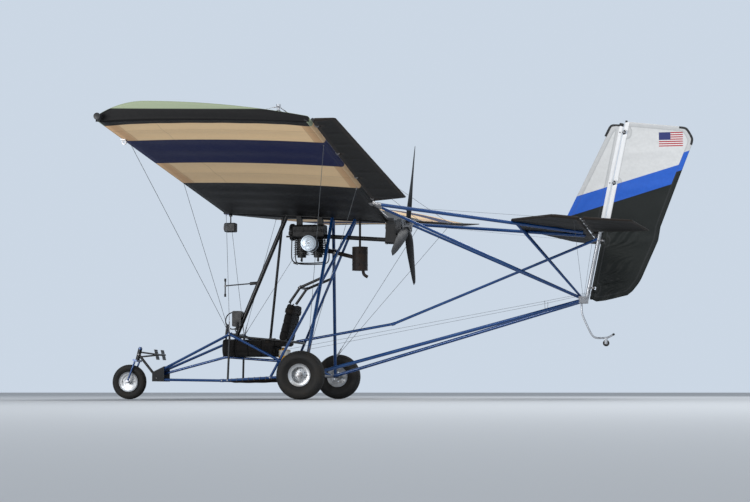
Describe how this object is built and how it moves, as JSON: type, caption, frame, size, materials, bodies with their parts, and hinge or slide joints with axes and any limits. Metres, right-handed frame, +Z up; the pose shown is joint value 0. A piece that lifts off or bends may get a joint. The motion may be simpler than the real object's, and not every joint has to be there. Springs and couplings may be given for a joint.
{
  "type": "ultralight aircraft",
  "caption": "Single-seat wire-braced ultralight aircraft with a high cloth wing, open tube fuselage, pusher propeller, tricycle wheels, swept rudder and moving control surfaces.",
  "frame": {"origin": "middle of the bounding box, on the ground the wheels stand on", "axes": "+X aft towards the rudder, +Y towards the right wing tip (on the right when facing forward), +Z up"},
  "size_m": [5.5809, 8.5334, 2.84],
  "materials": {
    "banded_sailcloth": "taut sailcloth in black, cream and navy bands",
    "black_cloth": "taut black sailcloth",
    "tail_cloth": "taut white sailcloth with a blue and a black band",
    "dark_tube": "dark anodised",
    "bare_tube": "bare drawn tube",
    "blue_tube": "blue enamel",
    "black_tube": "black enamel",
    "steel": "plated",
    "black_steel": "black enamel",
    "alloy_fittings": "machined",
    "tyre": "matt",
    "rim": "satin silver",
    "black_rubber": "matt",
    "upholstery": "woven",
    "canvas": "woven",
    "engine_metal": "blackened",
    "exhaust": "scorched",
    "filter": "pale face",
    "hub_metal": "machined",
    "blade": "gloss",
    "black_plastic": "matt",
    "bottle": "moulded"
  },
  "bodies": {
    "airframe": {"air_filter": "filter", "belly_tray": "canvas", "centre_tube": "blue_tube", "down_tube": "black_tube", "engine": "engine_metal", "exhaust": "exhaust", "fin": "tail_cloth", "fittings": "alloy_fittings", "front_light": "black_plastic", "fuel_bottle": "bottle", "hand_controls": "black_rubber", "head_tube": "black_tube", "hinge_eyes": "alloy_fittings", "instrument_pod": "black_plastic", "kingpost": "bare_tube", "knee_frame": "black_tube", "lower_booms": "blue_tube", "lower_side_tubes": "blue_tube", "main_axle": "steel", "main_stays": "steel", "middle_boom": "blue_tube", "nose_bracket": "black_steel", "pedals": "black_tube", "pitot_boom": "black_tube", "pylon_struts": "blue_tube", "reduction_drive": "engine_metal", "root_tube": "black_tube", "seat_back": "upholstery", "seat_base": "upholstery", "seat_frame": "black_tube", "seat_strut": "black_tube", "seat_support": "black_tube", "spars": "dark_tube", "stabiliser": "black_cloth", "stern_post": "bare_tube", "tail_skid": "bare_tube", "tail_struts": "blue_tube", "tie_down_rings": "steel", "upper_booms": "blue_tube", "upper_side_tubes": "blue_tube", "wing_left": "banded_sailcloth", "wing_right": "banded_sailcloth"},
    "nose_fork": {"nose_fork": "steel"},
    "nose_wheel": {"rim_nose": "rim", "tyre_nose": "tyre"},
    "main_wheel_left": {"rim_left": "rim", "tyre_left": "tyre"},
    "main_wheel_right": {"rim_right": "rim", "tyre_right": "tyre"},
    "propeller": {"prop_hub": "hub_metal", "prop_blades": "blade"},
    "rudder": {"rudder": "tail_cloth"},
    "elevator": {"elevator_tube": "dark_tube", "elevator_left": "black_cloth", "elevator_right": "black_cloth"},
    "aileron_left": {"aileron_left": "black_cloth"},
    "aileron_right": {"aileron_right": "black_cloth"},
    "tail_wheel": {"tail_wheel": "black_rubber"}
  },
  "joints": [
    {"name": "steering", "type": "hinge", "parent": "airframe", "child": "nose_fork", "pos_m": [-2.5315, 0, 0.432], "axis": [0.2419, 0, 0.9703], "range_deg": [-28, 28]},
    {"name": "nose_wheel_spin", "type": "hinge", "parent": "nose_fork", "child": "nose_wheel", "pos_m": [-2.6225, 0, 0.168], "axis": [0, 1, 0], "continuous": true},
    {"name": "left_wheel_spin", "type": "hinge", "parent": "airframe", "child": "main_wheel_left", "pos_m": [-0.7315, -0.851, 0.222], "axis": [0, 1, 0], "continuous": true},
    {"name": "right_wheel_spin", "type": "hinge", "parent": "airframe", "child": "main_wheel_right", "pos_m": [-0.7315, 0.851, 0.222], "axis": [0, 1, 0], "continuous": true},
    {"name": "propeller_spin", "type": "hinge", "parent": "airframe", "child": "propeller", "pos_m": [0.1085, 0, 1.622], "axis": [0.9976, 0, -0.0698], "continuous": true},
    {"name": "rudder_hinge", "type": "hinge", "parent": "airframe", "child": "rudder", "pos_m": [1.8345, 0, 0.935], "axis": [0.2042, 0, 0.9789], "range_deg": [-25, 25]},
    {"name": "elevator_hinge", "type": "hinge", "parent": "airframe", "child": "elevator", "pos_m": [1.8478, 0, 1.5587], "axis": [0, 1, 0], "range_deg": [-25, 20]},
    {"name": "left_aileron_hinge", "type": "hinge", "parent": "airframe", "child": "aileron_left", "pos_m": [-0.02041, -1.035, 1.77978], "axis": [-0.0403, 0.996, -0.0802], "range_deg": [-20, 20]},
    {"name": "right_aileron_hinge", "type": "hinge", "parent": "airframe", "child": "aileron_right", "pos_m": [-0.02041, 1.035, 1.77978], "axis": [0.0403, 0.996, 0.0802], "range_deg": [-20, 20]},
    {"name": "tail_wheel_spin", "type": "hinge", "parent": "airframe", "child": "tail_wheel", "pos_m": [1.9685, 0, 0.521], "axis": [0, 1, 0], "continuous": true}
  ]
}
